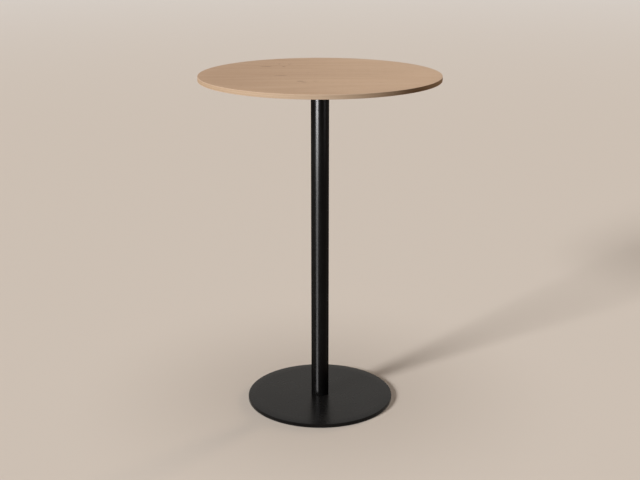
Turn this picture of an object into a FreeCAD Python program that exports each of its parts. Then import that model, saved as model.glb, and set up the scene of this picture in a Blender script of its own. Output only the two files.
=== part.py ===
import FreeCAD, Part
import math
import os
import Sketcher
from FreeCAD import Vector

# Round counter height table on one column and a flat round foot.
# Millimetres, Z up. The origin is on the floor, under the middle of the column.
# A tie rod inside the tube clamps mounting plate, tube and foot plate together.
# Four levelling feet sit in pockets under the foot plate and are drawn fully screwed in.

# Driving sizes: name, value in millimetres (shares are plain ratios), meaning
SIZES = (
    ("table_height", 950.0, "floor to the face of the top"),
    ("ground_gap", 1.2, "floor to the underside of the foot plate"),
    ("top_diameter", 660.0, "round top"),
    ("core_thickness", 10.4, "plywood core"),
    ("veneer_thickness", 0.8, "veneer on each side of the core"),
    ("arris_share", 0.75, "rounding of the rim, as a share of the veneer"),
    ("insert_diameter", 10.0, "outside of a threaded insert"),
    ("insert_sink", 0.2, "insert mouth above the underside of the top"),
    ("insert_cover", 2.2, "core left above an insert"),
    ("plate_diameter", 300.0, "mounting plate"),
    ("plate_thickness", 5.0, "mounting plate"),
    ("plate_edge_break", 0.8, "chamfers on the rim of the mounting plate"),
    ("plate_hole_diameter", 7.0, "clearance hole for a top screw"),
    ("insert_inset", 22.0, "rim of the mounting plate to the axis of a top screw"),
    ("top_screw_diameter", 6.0, "shank of a top screw"),
    ("top_screw_head_diameter", 10.5, "button head"),
    ("top_screw_head_height", 3.3, "button head"),
    ("top_screw_round_share", 0.75, "rounding of the head, as a share of its height"),
    ("top_screw_socket", 4.0, "hex socket across flats"),
    ("top_screw_socket_depth", 2.0, "hex socket"),
    ("top_screw_tip_gap", 1.6, "screw tip to the end of the insert"),
    ("screw_chamfer", 0.6, "chamfer at the tip of a screw"),
    ("washer_diameter", 12.0, "washer under a top screw"),
    ("washer_thickness", 1.6, "washer under a top screw"),
    ("washer_clearance", 0.2, "washer bore around the shank, on the radius"),
    ("fastener_clearance", 0.1, "plain bore around a fastener, on the radius"),
    ("hub_height", 30.0, "hub inside the head of the tube"),
    ("spigot_height", 25.0, "spigot inside the foot of the tube"),
    ("spigot_clearance", 0.1, "hub and spigot inside the tube, on the radius"),
    ("spigot_lead", 1.5, "lead chamfer of hub and spigot"),
    ("hub_screw_diameter", 6.0, "shank of a hub screw"),
    ("hub_screw_head_diameter", 12.0, "countersunk head"),
    ("hub_screw_head_rim", 0.3, "straight rim of the head"),
    ("hub_screw_sink", 0.2, "head below the face of the mounting plate"),
    ("hub_screw_length", 16.0, "hub screw over all"),
    ("hub_screw_tip_gap", 1.0, "screw tip to the end of its hole"),
    ("hub_screw_socket", 4.0, "hex socket across flats"),
    ("hub_screw_socket_depth", 2.0, "hex socket"),
    ("hub_screw_circle_share", 0.62, "hub screws from the axis, as a share of the hub radius"),
    ("tube_diameter", 50.0, "column tube"),
    ("tube_wall", 2.0, "column tube"),
    ("tube_end_break", 0.3, "broken outer edge at both ends of the tube"),
    ("rod_diameter", 10.0, "tie rod"),
    ("rod_chamfer", 0.8, "chamfer at both ends of the tie rod"),
    ("rod_top_gap", 3.0, "end of the rod to the mounting plate"),
    ("rod_engagement", 18.0, "rod inside the sleeve nut"),
    ("lock_nut_width", 16.0, "lock nut across flats"),
    ("lock_nut_height", 8.0, "lock nut"),
    ("lock_washer_diameter", 20.0, "washer between lock nut and hub"),
    ("lock_washer_thickness", 2.0, "washer between lock nut and hub"),
    ("sleeve_diameter", 14.0, "barrel of the sleeve nut"),
    ("sleeve_rise", 22.0, "barrel above the foot plate"),
    ("sleeve_head_diameter", 26.0, "countersunk head of the sleeve nut"),
    ("sleeve_head_rim", 0.6, "straight rim of that head"),
    ("sleeve_sink", 0.2, "head above the underside of the foot plate"),
    ("sleeve_socket", 8.0, "hex socket across flats"),
    ("sleeve_socket_depth", 6.0, "hex socket"),
    ("sleeve_web", 2.0, "metal between the socket and the threaded bore"),
    ("base_diameter", 420.0, "foot plate"),
    ("base_thickness", 10.0, "foot plate"),
    ("base_edge_radius", 2.0, "rounded upper rim"),
    ("base_edge_break", 0.6, "chamfer on the lower rim"),
    ("foot_inset", 30.0, "rim of the foot plate to the axis of a levelling foot"),
    ("foot_pocket_depth", 3.6, "pocket that takes a pad"),
    ("foot_roof", 1.4, "metal left above the blind threaded hole"),
    ("pad_diameter", 28.0, "pad of a levelling foot"),
    ("pad_clearance", 1.0, "pad inside its pocket, on the radius"),
    ("pad_seat_gap", 0.2, "pad to the roof of its pocket when fully screwed in"),
    ("pad_floor", 1.6, "pad below the flange of the stud"),
    ("pad_edge_break", 0.5, "chamfers on the rims of the pad"),
    ("pad_access_diameter", 7.0, "hole for the hex key"),
    ("pad_lip_overlap", 1.5, "snap lip of the pad over the flange, on the radius"),
    ("flange_diameter", 16.0, "flange of a stud"),
    ("flange_thickness", 1.2, "flange of a stud"),
    ("flange_clearance", 0.2, "flange inside the pad, all round"),
    ("stud_diameter", 8.0, "threaded shank of a stud"),
    ("stud_clearance", 0.06, "shank inside the threaded hole, on the radius"),
    ("stud_tip_gap", 0.5, "tip of a stud to the end of its hole"),
    ("stud_chamfer", 0.8, "chamfer at the tip"),
    ("stud_socket", 4.0, "hex socket across flats"),
    ("stud_socket_depth", 3.0, "hex socket"),
    ("cut_overrun", 1.0, "how far a cut runs past the face it opens"),
)
TOP_SCREW_COUNT = 6
HUB_SCREW_COUNT = 4
FOOT_COUNT = 4
HEX_SIDES = 6
FULL_TURN = 360

# Radii worked out from the sheet
TOP_RADIUS = "(Sizes.top_diameter / 2)"
PLATE_RADIUS = "(Sizes.plate_diameter / 2)"
BASE_RADIUS = "(Sizes.base_diameter / 2)"
TUBE_RADIUS = "(Sizes.tube_diameter / 2)"
TUBE_BORE = f"({TUBE_RADIUS} - Sizes.tube_wall)"
PLUG_RADIUS = f"({TUBE_BORE} - Sizes.spigot_clearance)"
INSERT_RADIUS = "(Sizes.insert_diameter / 2)"
INSERT_HOLE = f"({INSERT_RADIUS} + Sizes.fastener_clearance)"
INSERT_CIRCLE = f"({PLATE_RADIUS} - Sizes.insert_inset)"
TOP_SHANK = "(Sizes.top_screw_diameter / 2)"
TOP_HEAD = "(Sizes.top_screw_head_diameter / 2)"
HUB_SHANK = "(Sizes.hub_screw_diameter / 2)"
HUB_HOLE = f"({HUB_SHANK} + Sizes.fastener_clearance)"
HUB_HEAD = "(Sizes.hub_screw_head_diameter / 2)"
HUB_CIRCLE = f"({PLUG_RADIUS} * Sizes.hub_screw_circle_share)"
ROD_RADIUS = "(Sizes.rod_diameter / 2)"
ROD_BORE = f"({ROD_RADIUS} + Sizes.fastener_clearance)"
SLEEVE_RADIUS = "(Sizes.sleeve_diameter / 2)"
SLEEVE_HOLE = f"({SLEEVE_RADIUS} + Sizes.fastener_clearance)"
SLEEVE_HEAD = "(Sizes.sleeve_head_diameter / 2)"
PAD_RADIUS = "(Sizes.pad_diameter / 2)"
FLANGE_RADIUS = "(Sizes.flange_diameter / 2)"
STUD_RADIUS = "(Sizes.stud_diameter / 2)"
FOOT_CIRCLE = f"({BASE_RADIUS} - Sizes.foot_inset)"

# Heights above the floor worked out from the sheet
BASE_TOP = "(Sizes.ground_gap + Sizes.base_thickness)"
FACE_BOTTOM = "(Sizes.table_height - Sizes.veneer_thickness)"
CORE_BOTTOM = f"({FACE_BOTTOM} - Sizes.core_thickness)"
TOP_UNDERSIDE = f"({CORE_BOTTOM} - Sizes.veneer_thickness)"
PLATE_BOTTOM = f"({TOP_UNDERSIDE} - Sizes.plate_thickness)"
WASHER_BOTTOM = f"({PLATE_BOTTOM} - Sizes.washer_thickness)"
HUB_BOTTOM = f"({PLATE_BOTTOM} - Sizes.hub_height)"
LOCK_WASHER_BOTTOM = f"({HUB_BOTTOM} - Sizes.lock_washer_thickness)"
LOCK_NUT_BOTTOM = f"({LOCK_WASHER_BOTTOM} - Sizes.lock_nut_height)"
SLEEVE_BOTTOM = "(Sizes.ground_gap + Sizes.sleeve_sink)"
SLEEVE_TOP = f"({BASE_TOP} + Sizes.sleeve_rise)"
ROD_BOTTOM = f"({SLEEVE_TOP} - Sizes.rod_engagement)"
PAD_TOP = "(Sizes.ground_gap + Sizes.foot_pocket_depth - Sizes.pad_seat_gap)"
FLANGE_BOTTOM = "(Sizes.pad_floor + Sizes.flange_clearance)"
FLANGE_TOP = f"({FLANGE_BOTTOM} + Sizes.flange_thickness)"
STUD_TIP = f"({BASE_TOP} - Sizes.foot_roof - Sizes.stud_tip_gap)"

# Lengths worked out from the sheet
TUBE_LENGTH = f"({PLATE_BOTTOM} - {BASE_TOP})"
INSERT_REACH = "(Sizes.core_thickness + Sizes.veneer_thickness - Sizes.insert_cover)"
INSERT_LENGTH = f"({INSERT_REACH} - Sizes.insert_sink)"
TOP_SCREW_GRIP = "(Sizes.washer_thickness + Sizes.plate_thickness)"
TOP_SCREW_LENGTH = f"({TOP_SCREW_GRIP} + {INSERT_REACH} - Sizes.top_screw_tip_gap)"
HUB_SCREW_REACH = "(Sizes.hub_screw_sink + Sizes.hub_screw_length - Sizes.plate_thickness)"
SLEEVE_LENGTH = f"({SLEEVE_TOP} - {SLEEVE_BOTTOM})"
SLEEVE_BORE_START = "(Sizes.sleeve_socket_depth + Sizes.sleeve_web)"
ROD_LENGTH = f"({PLATE_BOTTOM} - Sizes.rod_top_gap - {ROD_BOTTOM})"

doc = FreeCAD.newDocument("counter_height_table")
sheet = doc.addObject("Spreadsheet::Sheet", "Sizes")
for row, (alias, amount, meaning) in enumerate(SIZES, start=1):
    sheet.set(f"A{row}", alias)
    sheet.set(f"B{row}", str(amount))
    sheet.setAlias(f"B{row}", alias)
    sheet.set(f"C{row}", meaning)
doc.recompute()

pieces = []


def new_piece(label, height="0"):
    """Start a body whose own zero level lies at the given height above the floor."""
    body = doc.addObject("PartDesign::Body", label)
    body.Label = label
    body.setExpression("Placement.Base.z", height)
    pieces.append(body)
    return body


def amount_of(body, expression):
    """Number that an expression over the sheet gives."""
    return float(body.evalExpression(expression))


def origin_feature(body, role):
    """Plane or axis of the body's own origin."""
    return next(item for item in body.Origin.OriginFeatures if item.Role == role)


def new_sketch(body, name, role, across="0", level="0"):
    """Sketch on an origin plane, moved along X by `across` and along its normal by `level`."""
    sketch = body.newObject("Sketcher::SketchObject", name)
    sketch.AttachmentSupport = [(origin_feature(body, role), "")]
    sketch.MapMode = "FlatFace"
    sketch.setExpression("AttachmentOffset.Base.x", across)
    sketch.setExpression("AttachmentOffset.Base.z", level)
    return sketch


def bind(sketch, constraint, expression):
    """Add a dimension to a sketch and tie it to the sheet."""
    index = sketch.addConstraint(constraint)
    sketch.setExpression(f"Constraints[{index}]", expression)


def close_lines(sketch, spots):
    """Closed run of straight lines through the spots."""
    count = len(spots)
    lines = [Part.LineSegment(spots[i], spots[(i + 1) % count]) for i in range(count)]
    sketch.addGeometry(lines, False)
    for i in range(count):
        sketch.addConstraint(Sketcher.Constraint("Coincident", i, 2, (i + 1) % count, 1))


def draw_outline(body, sketch, corners):
    """Closed outline through corners given as pairs of expressions."""
    spots = [Vector(amount_of(body, x), amount_of(body, y), 0) for x, y in corners]
    close_lines(sketch, spots)
    for i, (x, y) in enumerate(corners):
        bind(sketch, Sketcher.Constraint("DistanceX", -1, 1, i, 1, spots[i].x), x)
        bind(sketch, Sketcher.Constraint("DistanceY", -1, 1, i, 1, spots[i].y), y)


def draw_hexagon(body, sketch, flats):
    """Regular hexagon about the sketch's zero point, with the given width across flats."""
    width = f"{flats} / cos(180deg / {HEX_SIDES})"
    reach = amount_of(body, width) / 2
    turns = [i * math.tau / HEX_SIDES for i in range(HEX_SIDES)]
    close_lines(sketch, [Vector(reach * math.cos(a), reach * math.sin(a), 0) for a in turns])
    ring = sketch.addGeometry(Part.Circle(Vector(0, 0, 0), Vector(0, 0, 1), reach), True)
    sketch.addConstraint(Sketcher.Constraint("Coincident", ring, 3, -1, 1))
    for i in range(HEX_SIDES):
        sketch.addConstraint(Sketcher.Constraint("PointOnObject", i, 1, ring))
    for i in range(HEX_SIDES - 1):
        sketch.addConstraint(Sketcher.Constraint("Equal", i, i + 1))
    sketch.addConstraint(Sketcher.Constraint("PointOnObject", 0, 1, -1))
    bind(sketch, Sketcher.Constraint("Diameter", ring, 2 * reach), width)


def turn(body, name, corners, across="0"):
    """Turn an outline of radius and height pairs about an upright axis."""
    sketch = new_sketch(body, name + "_outline", "XZ_Plane", across)
    draw_outline(body, sketch, corners)
    feature = body.newObject("PartDesign::Revolution", name)
    feature.Profile = (sketch, [""])
    feature.ReferenceAxis = (sketch, ["V_Axis"])
    feature.Angle = FULL_TURN
    doc.recompute()
    return feature


def turn_away(body, name, corners, across="0"):
    """Cut away an outline turned about an upright axis."""
    before = body.Shape.Volume
    sketch = new_sketch(body, name + "_outline", "XZ_Plane", across)
    draw_outline(body, sketch, corners)
    feature = body.newObject("PartDesign::Groove", name)
    feature.Profile = (sketch, [""])
    feature.ReferenceAxis = (sketch, ["V_Axis"])
    feature.Angle = FULL_TURN
    doc.recompute()
    if not feature.Shape.Volume < before:
        raise RuntimeError(f"{body.Label}: {name} cuts nothing")
    return feature


def cut_socket(body, flats, depth, level="0", across="0", upward=True):
    """Cut a hex socket from a level of the body, upward or downward."""
    before = body.Shape.Volume
    sketch = new_sketch(body, "socket_outline", "XY_Plane", across, level)
    draw_hexagon(body, sketch, flats)
    pocket = body.newObject("PartDesign::Pocket", "socket")
    pocket.Profile = (sketch, [""])
    pocket.setExpression("Length", depth)
    pocket.Reversed = upward
    doc.recompute()
    if not pocket.Shape.Volume < before:
        raise RuntimeError(f"{body.Label}: the hex socket cuts nothing")


def repeat_round(body, count, features=None):
    """Repeat features, or the whole body where none are given, around the Z axis."""
    pattern = body.newObject("PartDesign::PolarPattern", "repeat")
    if features:
        pattern.TransformMode = "Features"
        pattern.Originals = features
    else:
        pattern.TransformMode = "Whole shape"
    pattern.Axis = (origin_feature(body, "Z_Axis"), [""])
    pattern.Angle = FULL_TURN
    pattern.Occurrences = count
    body.Tip = pattern
    doc.recompute()


def rim_names(body, radius, level):
    """Names of the round edges with a given radius at a given level."""
    wanted = amount_of(body, radius)
    height = amount_of(body, level)
    near = wanted * 1e-6
    names = []
    for index, edge in enumerate(body.Tip.Shape.Edges, start=1):
        if not isinstance(edge.Curve, Part.Circle):
            continue
        if abs(edge.Curve.Radius - wanted) < near and abs(edge.Curve.Center.z - height) < near:
            names.append(f"Edge{index}")
    if not names:
        raise RuntimeError(f"{body.Label}: no rim to dress at {level}")
    return names


def round_rim(body, radius, level, amount):
    """Round the rim with a given radius and level."""
    base = body.Tip
    names = rim_names(body, radius, level)
    fillet = body.newObject("PartDesign::Fillet", "rounding")
    fillet.Base = (base, names)
    fillet.setExpression("Radius", amount)
    doc.recompute()


def chamfer_rim(body, radius, level, amount):
    """Chamfer the rim with a given radius and level."""
    base = body.Tip
    names = rim_names(body, radius, level)
    chamfer = body.newObject("PartDesign::Chamfer", "chamfer")
    chamfer.Base = (base, names)
    chamfer.setExpression("Size", amount)
    doc.recompute()


def disc(radius, height):
    """Outline of a solid disc."""
    return [("0", "0"), (radius, "0"), (radius, height), ("0", height)]


def ring(bore, radius, height):
    """Outline of a flat ring."""
    return [(bore, "0"), (radius, "0"), (radius, height), (bore, height)]


def hole(radius, low, high):
    """Outline of a round hole between two levels."""
    return [("0", low), (radius, low), (radius, high), ("0", high)]


# Round top: veneer, plywood core, veneer, with inserts let in from below


def make_face_veneer():
    """Face of the top, with a softly rounded upper rim."""
    body = new_piece("face_veneer", FACE_BOTTOM)
    turn(body, "disc", disc(TOP_RADIUS, "Sizes.veneer_thickness"))
    round_rim(body, TOP_RADIUS, "Sizes.veneer_thickness", "Sizes.veneer_thickness * Sizes.arris_share")


def make_tabletop_core():
    """Plywood core with blind holes for the inserts."""
    body = new_piece("tabletop_core", CORE_BOTTOM)
    turn(body, "disc", disc(TOP_RADIUS, "Sizes.core_thickness"))
    depth = f"{INSERT_REACH} - Sizes.veneer_thickness + Sizes.fastener_clearance"
    bore = turn_away(body, "insert_hole", hole(INSERT_HOLE, "-Sizes.cut_overrun", depth), INSERT_CIRCLE)
    repeat_round(body, TOP_SCREW_COUNT, [bore])


def make_backing_veneer():
    """Balancing veneer, pierced for the inserts, with a softly rounded lower rim."""
    body = new_piece("backing_veneer", TOP_UNDERSIDE)
    turn(body, "disc", disc(TOP_RADIUS, "Sizes.veneer_thickness"))
    past = "Sizes.veneer_thickness + Sizes.cut_overrun"
    bore = turn_away(body, "insert_hole", hole(INSERT_HOLE, "-Sizes.cut_overrun", past), INSERT_CIRCLE)
    repeat_round(body, TOP_SCREW_COUNT, [bore])
    round_rim(body, TOP_RADIUS, "0", "Sizes.veneer_thickness * Sizes.arris_share")


def make_threaded_inserts():
    """Plain barrels with a chamfered mouth that take the top screws."""
    body = new_piece("threaded_inserts", f"{TOP_UNDERSIDE} + Sizes.insert_sink")
    bore = f"({TOP_SHANK} + Sizes.fastener_clearance)"
    barrel = [
        (f"{bore} + Sizes.screw_chamfer", "0"),
        (INSERT_RADIUS, "0"),
        (INSERT_RADIUS, INSERT_LENGTH),
        (bore, INSERT_LENGTH),
        (bore, "Sizes.screw_chamfer"),
    ]
    turn(body, "barrel", barrel, INSERT_CIRCLE)
    repeat_round(body, TOP_SCREW_COUNT)


# Mounting plate, its screws and the hub below it


def make_mounting_plate():
    """Round steel plate with clearance holes for the top and countersunk holes for the hub."""
    body = new_piece("mounting_plate", PLATE_BOTTOM)
    turn(body, "disc", disc(PLATE_RADIUS, "Sizes.plate_thickness"))
    chamfer_rim(body, PLATE_RADIUS, "0", "Sizes.plate_edge_break")
    chamfer_rim(body, PLATE_RADIUS, "Sizes.plate_thickness", "Sizes.plate_edge_break")
    past = "Sizes.plate_thickness + Sizes.cut_overrun"
    clear = hole("Sizes.plate_hole_diameter / 2", "-Sizes.cut_overrun", past)
    repeat_round(body, TOP_SCREW_COUNT, [turn_away(body, "top_hole", clear, INSERT_CIRCLE)])
    head = f"({HUB_HEAD} + Sizes.fastener_clearance)"
    rim_end = "Sizes.plate_thickness - Sizes.hub_screw_sink - Sizes.hub_screw_head_rim"
    sunk = [
        ("0", past),
        (head, past),
        (head, rim_end),
        (HUB_HOLE, f"{rim_end} - ({HUB_HEAD} - {HUB_SHANK})"),
        (HUB_HOLE, "-Sizes.cut_overrun"),
        ("0", "-Sizes.cut_overrun"),
    ]
    repeat_round(body, HUB_SCREW_COUNT, [turn_away(body, "hub_hole", sunk, HUB_CIRCLE)])


def make_top_screws():
    """Button head screws, driven up through the plate into the inserts."""
    body = new_piece("top_screws", WASHER_BOTTOM)
    low = "-Sizes.top_screw_head_height"
    outline = [
        ("0", low),
        (TOP_HEAD, low),
        (TOP_HEAD, "0"),
        (TOP_SHANK, "0"),
        (TOP_SHANK, f"{TOP_SCREW_LENGTH} - Sizes.screw_chamfer"),
        (f"{TOP_SHANK} - Sizes.screw_chamfer", TOP_SCREW_LENGTH),
        ("0", TOP_SCREW_LENGTH),
    ]
    turn(body, "screw", outline, INSERT_CIRCLE)
    cut_socket(body, "Sizes.top_screw_socket", "Sizes.top_screw_socket_depth", low, INSERT_CIRCLE)
    round_rim(body, TOP_HEAD, low, "Sizes.top_screw_head_height * Sizes.top_screw_round_share")
    repeat_round(body, TOP_SCREW_COUNT)


def make_screw_washers():
    """Washers between the button heads and the plate."""
    body = new_piece("screw_washers", WASHER_BOTTOM)
    bore = f"{TOP_SHANK} + Sizes.washer_clearance"
    turn(body, "washer", ring(bore, "Sizes.washer_diameter / 2", "Sizes.washer_thickness"), INSERT_CIRCLE)
    repeat_round(body, TOP_SCREW_COUNT)


def make_top_hub():
    """Turned plug inside the head of the tube, bored for the rod and drilled for its screws."""
    body = new_piece("top_hub", HUB_BOTTOM)
    outline = [
        (ROD_BORE, "0"),
        (f"{PLUG_RADIUS} - Sizes.spigot_lead", "0"),
        (PLUG_RADIUS, "Sizes.spigot_lead"),
        (PLUG_RADIUS, "Sizes.hub_height"),
        (ROD_BORE, "Sizes.hub_height"),
    ]
    turn(body, "plug", outline)
    low = f"Sizes.hub_height - {HUB_SCREW_REACH} - Sizes.hub_screw_tip_gap"
    drilled = hole(HUB_HOLE, low, "Sizes.hub_height + Sizes.cut_overrun")
    repeat_round(body, HUB_SCREW_COUNT, [turn_away(body, "hub_hole", drilled, HUB_CIRCLE)])


def make_hub_screws():
    """Countersunk screws that hold the hub to the mounting plate."""
    body = new_piece("hub_screws", f"{TOP_UNDERSIDE} - Sizes.hub_screw_sink")
    outline = [
        ("0", "0"),
        (HUB_HEAD, "0"),
        (HUB_HEAD, "-Sizes.hub_screw_head_rim"),
        (HUB_SHANK, f"-Sizes.hub_screw_head_rim - ({HUB_HEAD} - {HUB_SHANK})"),
        (HUB_SHANK, "Sizes.screw_chamfer - Sizes.hub_screw_length"),
        (f"{HUB_SHANK} - Sizes.screw_chamfer", "-Sizes.hub_screw_length"),
        ("0", "-Sizes.hub_screw_length"),
    ]
    turn(body, "screw", outline, HUB_CIRCLE)
    cut_socket(
        body, "Sizes.hub_screw_socket", "Sizes.hub_screw_socket_depth", across=HUB_CIRCLE, upward=False
    )
    repeat_round(body, HUB_SCREW_COUNT)


# Column: tube, tie rod and the nuts that tension it


def make_column_tube():
    """Plain round tube with broken outer edges at both ends."""
    body = new_piece("column_tube", BASE_TOP)
    outline = [
        (TUBE_BORE, "0"),
        (f"{TUBE_RADIUS} - Sizes.tube_end_break", "0"),
        (TUBE_RADIUS, "Sizes.tube_end_break"),
        (TUBE_RADIUS, f"{TUBE_LENGTH} - Sizes.tube_end_break"),
        (f"{TUBE_RADIUS} - Sizes.tube_end_break", TUBE_LENGTH),
        (TUBE_BORE, TUBE_LENGTH),
    ]
    turn(body, "tube", outline)


def make_tie_rod():
    """Rod from the hub down into the sleeve nut, chamfered at both ends."""
    body = new_piece("tie_rod", ROD_BOTTOM)
    outline = [
        ("0", "0"),
        (f"{ROD_RADIUS} - Sizes.rod_chamfer", "0"),
        (ROD_RADIUS, "Sizes.rod_chamfer"),
        (ROD_RADIUS, f"{ROD_LENGTH} - Sizes.rod_chamfer"),
        (f"{ROD_RADIUS} - Sizes.rod_chamfer", ROD_LENGTH),
        ("0", ROD_LENGTH),
    ]
    turn(body, "rod", outline)


def make_rod_lock_washer():
    """Washer between the lock nut and the hub."""
    body = new_piece("rod_lock_washer", LOCK_WASHER_BOTTOM)
    turn(body, "washer", ring(ROD_BORE, "Sizes.lock_washer_diameter / 2", "Sizes.lock_washer_thickness"))


def make_rod_lock_nut():
    """Hex nut with chamfered corners on the rod."""
    body = new_piece("rod_lock_nut", LOCK_NUT_BOTTOM)
    sketch = new_sketch(body, "hexagon", "XY_Plane")
    draw_hexagon(body, sketch, "Sizes.lock_nut_width")
    pad = body.newObject("PartDesign::Pad", "block")
    pad.Profile = (sketch, [""])
    pad.setExpression("Length", "Sizes.lock_nut_height")
    doc.recompute()
    past = "Sizes.lock_nut_height + Sizes.cut_overrun"
    turn_away(body, "bore", hole(ROD_BORE, "-Sizes.cut_overrun", past))
    flat = "Sizes.lock_nut_width / 2"
    corner = f"(Sizes.lock_nut_width / 2 / cos(180deg / {HEX_SIDES}) + Sizes.cut_overrun)"
    rise = f"(({corner} - {flat}) * tan(180deg / {HEX_SIDES}))"
    turn_away(body, "lower_corners", [(flat, "0"), (corner, "0"), (corner, rise)])
    top = "Sizes.lock_nut_height"
    turn_away(body, "upper_corners", [(flat, top), (corner, top), (corner, f"{top} - {rise}")])


def make_base_spigot():
    """Turned plug that centres the foot of the tube on the sleeve nut."""
    body = new_piece("base_spigot", BASE_TOP)
    outline = [
        (f"{SLEEVE_HOLE} + Sizes.spigot_lead", "0"),
        (PLUG_RADIUS, "0"),
        (PLUG_RADIUS, "Sizes.spigot_height - Sizes.spigot_lead"),
        (f"{PLUG_RADIUS} - Sizes.spigot_lead", "Sizes.spigot_height"),
        (SLEEVE_HOLE, "Sizes.spigot_height"),
        (SLEEVE_HOLE, "Sizes.spigot_lead"),
    ]
    turn(body, "plug", outline)


def make_sleeve_nut():
    """Countersunk sleeve nut with a hex socket below and a threaded bore above."""
    body = new_piece("sleeve_nut", SLEEVE_BOTTOM)
    outline = [
        ("0", "0"),
        (SLEEVE_HEAD, "0"),
        (SLEEVE_HEAD, "Sizes.sleeve_head_rim"),
        (SLEEVE_RADIUS, f"Sizes.sleeve_head_rim + {SLEEVE_HEAD} - {SLEEVE_RADIUS}"),
        (SLEEVE_RADIUS, SLEEVE_LENGTH),
        (ROD_BORE, SLEEVE_LENGTH),
        (ROD_BORE, SLEEVE_BORE_START),
        ("0", SLEEVE_BORE_START),
    ]
    turn(body, "sleeve", outline)
    cut_socket(body, "Sizes.sleeve_socket", "Sizes.sleeve_socket_depth")


# Foot plate and levelling feet


def make_base_plate():
    """Flat round plate with a countersunk centre and a stepped pocket for each levelling foot."""
    body = new_piece("base_plate", "Sizes.ground_gap")
    turn(body, "disc", disc(BASE_RADIUS, "Sizes.base_thickness"))
    round_rim(body, BASE_RADIUS, "Sizes.base_thickness", "Sizes.base_edge_radius")
    chamfer_rim(body, BASE_RADIUS, "0", "Sizes.base_edge_break")
    head = f"({SLEEVE_HEAD} + Sizes.fastener_clearance)"
    rim_end = "Sizes.sleeve_sink + Sizes.sleeve_head_rim"
    past = "Sizes.base_thickness + Sizes.cut_overrun"
    sunk = [
        ("0", "-Sizes.cut_overrun"),
        (head, "-Sizes.cut_overrun"),
        (head, rim_end),
        (SLEEVE_HOLE, f"{rim_end} + {SLEEVE_HEAD} - {SLEEVE_RADIUS}"),
        (SLEEVE_HOLE, past),
        ("0", past),
    ]
    turn_away(body, "centre_hole", sunk)
    pocket = f"({PAD_RADIUS} + Sizes.pad_clearance)"
    thread = f"({STUD_RADIUS} + Sizes.stud_clearance)"
    roof = "Sizes.base_thickness - Sizes.foot_roof"
    stepped = [
        ("0", "-Sizes.cut_overrun"),
        (pocket, "-Sizes.cut_overrun"),
        (pocket, "Sizes.foot_pocket_depth"),
        (thread, "Sizes.foot_pocket_depth"),
        (thread, roof),
        ("0", roof),
    ]
    repeat_round(body, FOOT_COUNT, [turn_away(body, "foot_pocket", stepped, FOOT_CIRCLE)])


def stand_at_foot(body, number):
    """Move a piece out to one of the levelling feet."""
    bearing = (number - 1) * FULL_TURN / FOOT_COUNT
    body.setExpression("Placement.Base.x", f"{FOOT_CIRCLE} * cos({bearing}deg)")
    body.setExpression("Placement.Base.y", f"{FOOT_CIRCLE} * sin({bearing}deg)")
    doc.recompute()


def make_foot_pad(number):
    """Round pad with a snap groove for the flange and a hole for the hex key."""
    body = new_piece(f"foot_pad_{number}")
    access = "Sizes.pad_access_diameter / 2"
    lip = f"{FLANGE_RADIUS} - Sizes.pad_lip_overlap"
    groove = f"{FLANGE_RADIUS} + Sizes.flange_clearance"
    groove_top = f"{FLANGE_TOP} + Sizes.flange_clearance"
    outline = [
        (access, "0"),
        (f"{PAD_RADIUS} - Sizes.pad_edge_break", "0"),
        (PAD_RADIUS, "Sizes.pad_edge_break"),
        (PAD_RADIUS, f"{PAD_TOP} - Sizes.pad_edge_break"),
        (f"{PAD_RADIUS} - Sizes.pad_edge_break", PAD_TOP),
        (lip, PAD_TOP),
        (lip, groove_top),
        (groove, groove_top),
        (groove, "Sizes.pad_floor"),
        (access, "Sizes.pad_floor"),
    ]
    turn(body, "pad", outline)
    stand_at_foot(body, number)


def make_foot_stud(number):
    """Stud with a flange held in the pad and a hex socket reached from below."""
    body = new_piece(f"foot_stud_{number}")
    outline = [
        ("0", FLANGE_BOTTOM),
        (FLANGE_RADIUS, FLANGE_BOTTOM),
        (FLANGE_RADIUS, FLANGE_TOP),
        (STUD_RADIUS, FLANGE_TOP),
        (STUD_RADIUS, f"{STUD_TIP} - Sizes.stud_chamfer"),
        (f"{STUD_RADIUS} - Sizes.stud_chamfer", STUD_TIP),
        ("0", STUD_TIP),
    ]
    turn(body, "stud", outline)
    cut_socket(body, "Sizes.stud_socket", "Sizes.stud_socket_depth", FLANGE_BOTTOM)
    stand_at_foot(body, number)


make_face_veneer()
make_tabletop_core()
make_backing_veneer()
make_threaded_inserts()
make_mounting_plate()
make_top_screws()
make_screw_washers()
make_top_hub()
make_hub_screws()
make_column_tube()
make_tie_rod()
make_rod_lock_washer()
make_rod_lock_nut()
make_base_spigot()
make_sleeve_nut()
make_base_plate()
for foot in range(1, FOOT_COUNT + 1):
    make_foot_pad(foot)
    make_foot_stud(foot)

doc.recompute()
for item in doc.Objects:
    if "Invalid" in item.State or "Error" in item.State:
        raise RuntimeError(f"{item.Label} failed: {item.State}")
os.makedirs("parts", exist_ok=True)
for piece in pieces:
    if piece.Shape.isNull() or not piece.Shape.isValid():
        raise RuntimeError(f"{piece.Label} has no valid shape")
    piece.Shape.exportStep(f"parts/{piece.Label}.step")
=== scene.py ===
"""Dressed model of a round counter height table.

A wood-faced plywood top is screwed to a round steel plate. A black tube carries
the plate, and a tie rod inside the tube draws everything down on a flat round foot
with four levelling feet underneath. Lengths are metres, Z is up, the origin is on
the floor under the middle of the column, and -Y faces the viewer.
"""

import logging
import math
from abc import ABC, abstractmethod
from collections.abc import Mapping, Sequence
from dataclasses import dataclass
from enum import Enum
from typing import Any, Union

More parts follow.
